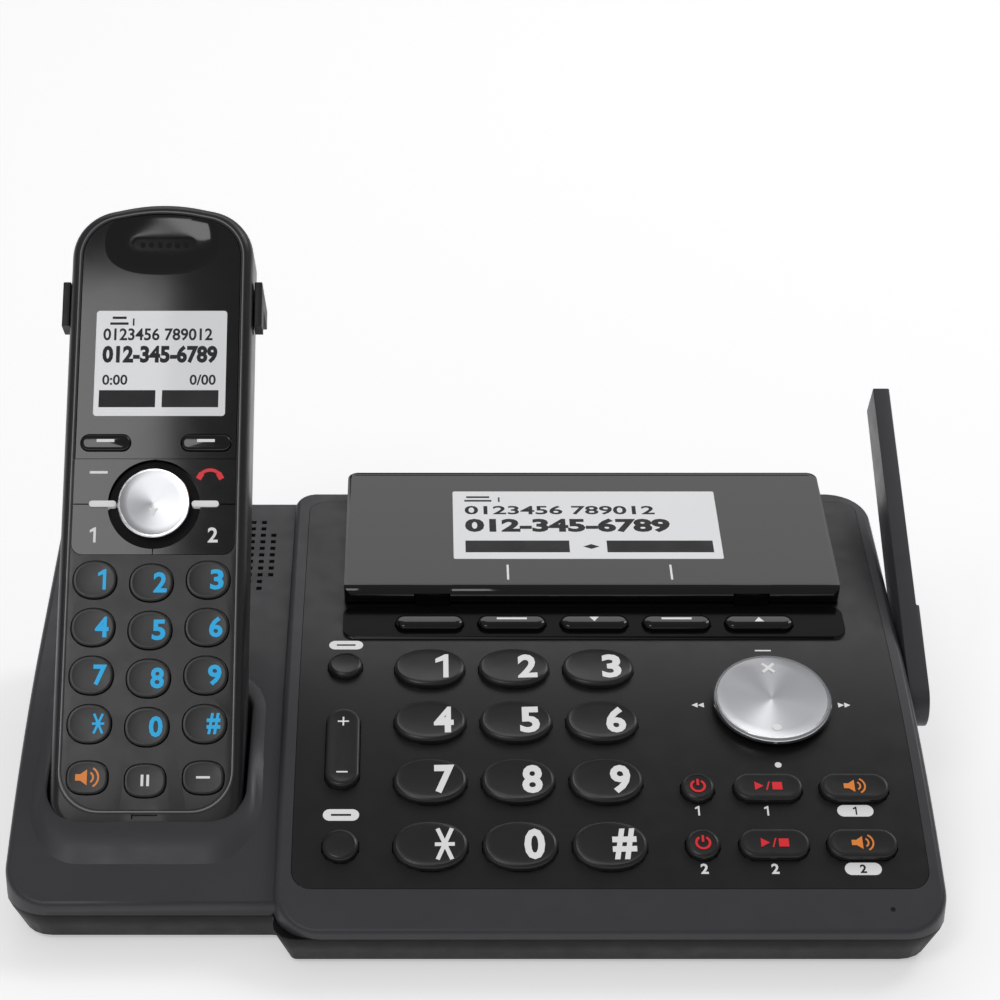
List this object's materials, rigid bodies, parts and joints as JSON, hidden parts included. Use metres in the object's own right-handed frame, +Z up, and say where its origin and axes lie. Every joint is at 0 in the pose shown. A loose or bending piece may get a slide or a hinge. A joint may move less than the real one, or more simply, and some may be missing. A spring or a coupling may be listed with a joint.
{
  "type": "answering machine",
  "caption": "Desk answering machine with a curved key console, tilting display, side antenna and a cordless handset standing in its charging cradle.",
  "frame": {"origin": "on the desk under the middle of the whole outline, antenna and handset with it", "axes": "+Z up, the user in front at -Y, +X to the user's right"},
  "size_m": [0.2462, 0.1706, 0.1496],
  "materials": {
    "shell": "fine satin, charcoal grey",
    "lower_case": "matt dark grey",
    "panel": "satin black",
    "key": "satin black caps",
    "silver": "silver, radially brushed",
    "board": "green circuit board",
    "socket": "black moulded block",
    "speaker": "black basket and cone",
    "contact": "plated spring metal",
    "foot": "black rubber",
    "screw": "zinc plated",
    "display_body": "glossy black",
    "screen": "pale lit screen",
    "handset_body": "satin black",
    "battery": "blue wrapped cells",
    "antenna": "satin dark grey"
  },
  "bodies": {
    "base": {"lower_case": "lower_case", "upper_shell": "shell", "key_panel": "panel", "main_board": "board", "jack_block": "socket", "loudspeaker": "speaker", "charge_contacts": "contact", "rubber_feet": "foot", "case_screws": "screw"},
    "display": {"display_case": "display_body", "display_window": "display_body", "display_lcd": "screen"},
    "antenna": {"antenna": "antenna"},
    "handset": {"handset_front": "handset_body", "handset_back": "handset_body", "handset_faceplate": "display_body", "handset_board": "board", "battery_pack": "battery", "belt_clip": "handset_body"},
    "battery_door": {"battery_door": "handset_body"},
    "key_star": {"key_star": "key"},
    "key_0": {"key_0": "key"},
    "key_pound": {"key_pound": "key"},
    "key_7": {"key_7": "key"},
    "key_8": {"key_8": "key"},
    "key_9": {"key_9": "key"},
    "key_4": {"key_4": "key"},
    "key_5": {"key_5": "key"},
    "key_6": {"key_6": "key"},
    "key_1": {"key_1": "key"},
    "key_2": {"key_2": "key"},
    "key_3": {"key_3": "key"},
    "hold_key": {"hold_key": "key"},
    "flash_key": {"flash_key": "key"},
    "volume_rocker": {"volume_rocker": "key"},
    "soft_key_1": {"soft_key_1": "key"},
    "soft_key_2": {"soft_key_2": "key"},
    "soft_key_3": {"soft_key_3": "key"},
    "soft_key_4": {"soft_key_4": "key"},
    "soft_key_5": {"soft_key_5": "key"},
    "answer_on_key_1": {"answer_on_key_1": "key"},
    "mailbox_key_1": {"mailbox_key_1": "key"},
    "line_key_1": {"line_key_1": "key"},
    "answer_on_key_2": {"answer_on_key_2": "key"},
    "mailbox_key_2": {"mailbox_key_2": "key"},
    "line_key_2": {"line_key_2": "key"},
    "disc_carrier": {"disc_carrier": "socket"},
    "disc_cap": {"disc_cap": "silver"},
    "nav_carrier": {"nav_carrier": "socket"},
    "nav_cap": {"nav_cap": "silver"},
    "handset_keys_123": {"handset_keys_123": "key"},
    "handset_keys_456": {"handset_keys_456": "key"},
    "handset_keys_789": {"handset_keys_789": "key"},
    "handset_keys_star_0_pound": {"handset_keys_star_0_pound": "key"},
    "handset_function_keys": {"handset_function_keys": "key"},
    "handset_soft_keys": {"handset_soft_keys": "key"},
    "handset_redial_key": {"handset_redial_key": "key"},
    "handset_off_key": {"handset_off_key": "key"},
    "handset_line_1_key": {"handset_line_1_key": "key"},
    "handset_line_2_key": {"handset_line_2_key": "key"}
  },
  "joints": [
    {"name": "display_tilt", "type": "hinge", "parent": "base", "child": "display", "pos_m": [-0.0031, 0.02339, 0.04975], "axis": [1, 0, 0], "range_deg": [0, 40]},
    {"name": "antenna_swing", "type": "hinge", "parent": "base", "child": "antenna", "pos_m": [0.1175, -0.00319, 0.0306], "axis": [1, 0, 0], "range_deg": [-25, 60]},
    {"name": "handset_lift", "type": "slide", "parent": "base", "child": "handset", "axis": [0, 0.6884, 0.7254], "range_m": [0, 0.12]},
    {"name": "battery_door_slide", "type": "slide", "parent": "handset", "child": "battery_door", "axis": [0, -0.6884, -0.7254], "range_m": [0, 0.008]},
    {"name": "key_star_press", "type": "slide", "parent": "base", "child": "key_star", "axis": [0, 0.3832, -0.9237], "range_m": [0, 0.0012], "stiffness_N_per_m": 300, "springref_m": -0.0006},
    {"name": "key_0_press", "type": "slide", "parent": "base", "child": "key_0", "axis": [0, 0.3832, -0.9237], "range_m": [0, 0.0012], "stiffness_N_per_m": 300, "springref_m": -0.0006},
    {"name": "key_pound_press", "type": "slide", "parent": "base", "child": "key_pound", "axis": [0, 0.3832, -0.9237], "range_m": [0, 0.0012], "stiffness_N_per_m": 300, "springref_m": -0.0006},
    {"name": "key_7_press", "type": "slide", "parent": "base", "child": "key_7", "axis": [0, 0.3274, -0.9449], "range_m": [0, 0.0012], "stiffness_N_per_m": 300, "springref_m": -0.0006},
    {"name": "key_8_press", "type": "slide", "parent": "base", "child": "key_8", "axis": [0, 0.3274, -0.9449], "range_m": [0, 0.0012], "stiffness_N_per_m": 300, "springref_m": -0.0006},
    {"name": "key_9_press", "type": "slide", "parent": "base", "child": "key_9", "axis": [0, 0.3274, -0.9449], "range_m": [0, 0.0012], "stiffness_N_per_m": 300, "springref_m": -0.0006},
    {"name": "key_4_press", "type": "slide", "parent": "base", "child": "key_4", "axis": [0, 0.2704, -0.9627], "range_m": [0, 0.0012], "stiffness_N_per_m": 300, "springref_m": -0.0006},
    {"name": "key_5_press", "type": "slide", "parent": "base", "child": "key_5", "axis": [0, 0.2704, -0.9627], "range_m": [0, 0.0012], "stiffness_N_per_m": 300, "springref_m": -0.0006},
    {"name": "key_6_press", "type": "slide", "parent": "base", "child": "key_6", "axis": [0, 0.2704, -0.9627], "range_m": [0, 0.0012], "stiffness_N_per_m": 300, "springref_m": -0.0006},
    {"name": "key_1_press", "type": "slide", "parent": "base", "child": "key_1", "axis": [0, 0.2125, -0.9772], "range_m": [0, 0.0012], "stiffness_N_per_m": 300, "springref_m": -0.0006},
    {"name": "key_2_press", "type": "slide", "parent": "base", "child": "key_2", "axis": [0, 0.2125, -0.9772], "range_m": [0, 0.0012], "stiffness_N_per_m": 300, "springref_m": -0.0006},
    {"name": "key_3_press", "type": "slide", "parent": "base", "child": "key_3", "axis": [0, 0.2125, -0.9772], "range_m": [0, 0.0012], "stiffness_N_per_m": 300, "springref_m": -0.0006},
    {"name": "hold_key_press", "type": "slide", "parent": "base", "child": "hold_key", "axis": [0, 0.2093, -0.9779], "range_m": [0, 0.0012], "stiffness_N_per_m": 300, "springref_m": -0.0006},
    {"name": "flash_key_press", "type": "slide", "parent": "base", "child": "flash_key", "axis": [0, 0.3832, -0.9237], "range_m": [0, 0.0012], "stiffness_N_per_m": 300, "springref_m": -0.0006},
    {"name": "volume_rock", "type": "hinge", "parent": "base", "child": "volume_rocker", "pos_m": [-0.037, -0.03387, 0.03384], "axis": [1, 0, 0], "range_deg": [-3, 3], "stiffness_Nm_per_rad": 0.1},
    {"name": "soft_key_1_press", "type": "slide", "parent": "base", "child": "soft_key_1", "axis": [0, 0.165, -0.9863], "range_m": [0, 0.0012], "stiffness_N_per_m": 300, "springref_m": -0.0006},
    {"name": "soft_key_2_press", "type": "slide", "parent": "base", "child": "soft_key_2", "axis": [0, 0.165, -0.9863], "range_m": [0, 0.0012], "stiffness_N_per_m": 300, "springref_m": -0.0006},
    {"name": "soft_key_3_press", "type": "slide", "parent": "base", "child": "soft_key_3", "axis": [0, 0.165, -0.9863], "range_m": [0, 0.0012], "stiffness_N_per_m": 300, "springref_m": -0.0006},
    {"name": "soft_key_4_press", "type": "slide", "parent": "base", "child": "soft_key_4", "axis": [0, 0.165, -0.9863], "range_m": [0, 0.0012], "stiffness_N_per_m": 300, "springref_m": -0.0006},
    {"name": "soft_key_5_press", "type": "slide", "parent": "base", "child": "soft_key_5", "axis": [0, 0.165, -0.9863], "range_m": [0, 0.0012], "stiffness_N_per_m": 300, "springref_m": -0.0006},
    {"name": "answer_on_key_1_press", "type": "slide", "parent": "base", "child": "answer_on_key_1", "axis": [0, 0.3336, -0.9427], "range_m": [0, 0.0012], "stiffness_N_per_m": 300, "springref_m": -0.0006},
    {"name": "mailbox_key_1_press", "type": "slide", "parent": "base", "child": "mailbox_key_1", "axis": [0, 0.3336, -0.9427], "range_m": [0, 0.0012], "stiffness_N_per_m": 300, "springref_m": -0.0006},
    {"name": "line_key_1_press", "type": "slide", "parent": "base", "child": "line_key_1", "axis": [0, 0.3336, -0.9427], "range_m": [0, 0.0012], "stiffness_N_per_m": 300, "springref_m": -0.0006},
    {"name": "answer_on_key_2_press", "type": "slide", "parent": "base", "child": "answer_on_key_2", "axis": [0, 0.3821, -0.9241], "range_m": [0, 0.0012], "stiffness_N_per_m": 300, "springref_m": -0.0006},
    {"name": "mailbox_key_2_press", "type": "slide", "parent": "base", "child": "mailbox_key_2", "axis": [0, 0.3821, -0.9241], "range_m": [0, 0.0012], "stiffness_N_per_m": 300, "springref_m": -0.0006},
    {"name": "line_key_2_press", "type": "slide", "parent": "base", "child": "line_key_2", "axis": [0, 0.3821, -0.9241], "range_m": [0, 0.0012], "stiffness_N_per_m": 300, "springref_m": -0.0006},
    {"name": "disc_rock_side", "type": "hinge", "parent": "base", "child": "disc_carrier", "pos_m": [0.0782, -0.01814, 0.03728], "axis": [0, 0.9681, 0.2507], "range_deg": [-3, 3], "stiffness_Nm_per_rad": 0.1},
    {"name": "disc_rock_front", "type": "hinge", "parent": "disc_carrier", "child": "disc_cap", "pos_m": [0.0782, -0.01814, 0.03728], "axis": [1, 0, 0], "range_deg": [-3, 3], "stiffness_Nm_per_rad": 0.1},
    {"name": "nav_rock_side", "type": "hinge", "parent": "handset", "child": "nav_carrier", "pos_m": [-0.0881, 0.00541, 0.08656], "axis": [0, 0.6884, 0.7254], "range_deg": [-3, 3], "stiffness_Nm_per_rad": 0.05},
    {"name": "nav_rock_front", "type": "hinge", "parent": "nav_carrier", "child": "nav_cap", "pos_m": [-0.0881, 0.00541, 0.08656], "axis": [1, 0, 0], "range_deg": [-3, 3], "stiffness_Nm_per_rad": 0.05},
    {"name": "handset_keys_123_press", "type": "slide", "parent": "handset", "child": "handset_keys_123", "axis": [0, 0.7254, -0.6884], "range_m": [0, 0.001], "stiffness_N_per_m": 250, "springref_m": -0.0005},
    {"name": "handset_keys_456_press", "type": "slide", "parent": "handset", "child": "handset_keys_456", "axis": [0, 0.7254, -0.6884], "range_m": [0, 0.001], "stiffness_N_per_m": 250, "springref_m": -0.0005},
    {"name": "handset_keys_789_press", "type": "slide", "parent": "handset", "child": "handset_keys_789", "axis": [0, 0.7254, -0.6884], "range_m": [0, 0.001], "stiffness_N_per_m": 250, "springref_m": -0.0005},
    {"name": "handset_keys_star_0_pound_press", "type": "slide", "parent": "handset", "child": "handset_keys_star_0_pound", "axis": [0, 0.7254, -0.6884], "range_m": [0, 0.001], "stiffness_N_per_m": 250, "springref_m": -0.0005},
    {"name": "handset_function_keys_press", "type": "slide", "parent": "handset", "child": "handset_function_keys", "axis": [0, 0.7254, -0.6884], "range_m": [0, 0.001], "stiffness_N_per_m": 250, "springref_m": -0.0005},
    {"name": "handset_soft_keys_press", "type": "slide", "parent": "handset", "child": "handset_soft_keys", "axis": [0, 0.7254, -0.6884], "range_m": [0, 0.001], "stiffness_N_per_m": 250, "springref_m": -0.0005},
    {"name": "handset_redial_key_press", "type": "slide", "parent": "handset", "child": "handset_redial_key", "axis": [0, 0.7254, -0.6884], "range_m": [0, 0.001], "stiffness_N_per_m": 250, "springref_m": -0.0005},
    {"name": "handset_off_key_press", "type": "slide", "parent": "handset", "child": "handset_off_key", "axis": [0, 0.7254, -0.6884], "range_m": [0, 0.001], "stiffness_N_per_m": 250, "springref_m": -0.0005},
    {"name": "handset_line_1_key_press", "type": "slide", "parent": "handset", "child": "handset_line_1_key", "axis": [0, 0.7254, -0.6884], "range_m": [0, 0.001], "stiffness_N_per_m": 250, "springref_m": -0.0005},
    {"name": "handset_line_2_key_press", "type": "slide", "parent": "handset", "child": "handset_line_2_key", "axis": [0, 0.7254, -0.6884], "range_m": [0, 0.001], "stiffness_N_per_m": 250, "springref_m": -0.0005}
  ]
}
